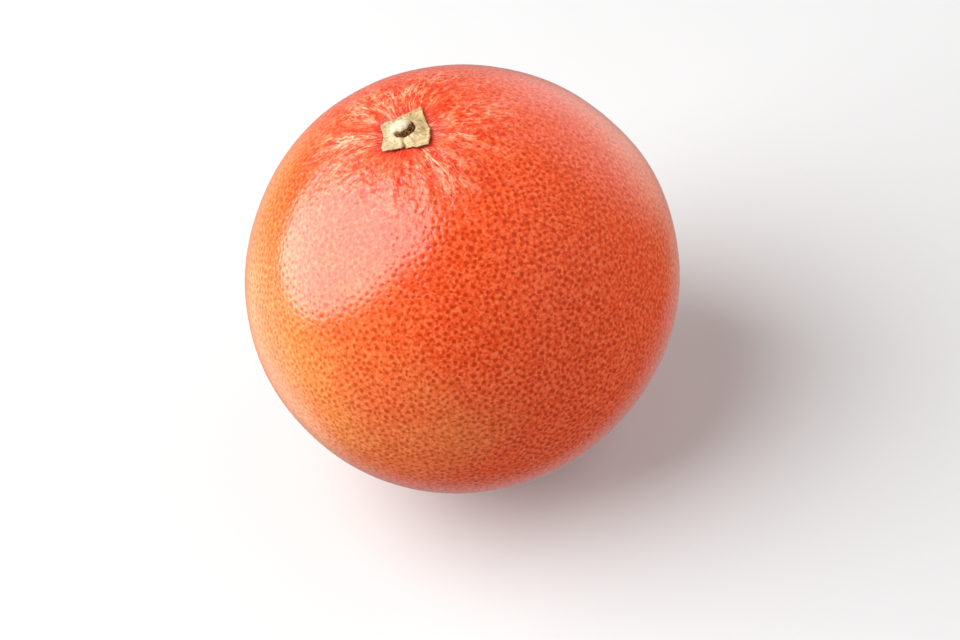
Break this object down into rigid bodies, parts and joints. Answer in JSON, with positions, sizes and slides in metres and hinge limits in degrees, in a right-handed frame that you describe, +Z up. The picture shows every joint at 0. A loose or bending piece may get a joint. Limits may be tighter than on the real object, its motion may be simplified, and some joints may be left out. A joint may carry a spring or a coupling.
{
  "type": "pomelo",
  "caption": "Whole round citrus fruit with an orange to red pitted peel, a star-shaped dried calyx and a stalk stub, standing on its blossom end.",
  "frame": {"origin": "centre of the small flat spot at the blossom end, which the fruit stands on", "axes": "+Z up along the fruit's own axis, from the blossom end to the stalk; -Y is the side that faces the camera in the reference view"},
  "size_m": [0.1049, 0.1048, 0.102],
  "materials": {
    "peel": "satin",
    "calyx": "matte",
    "stalk": "matte"
  },
  "bodies": {
    "root": {"fruit": "peel", "calyx": "calyx", "stem_stub": "stalk"}
  },
  "joints": []
}
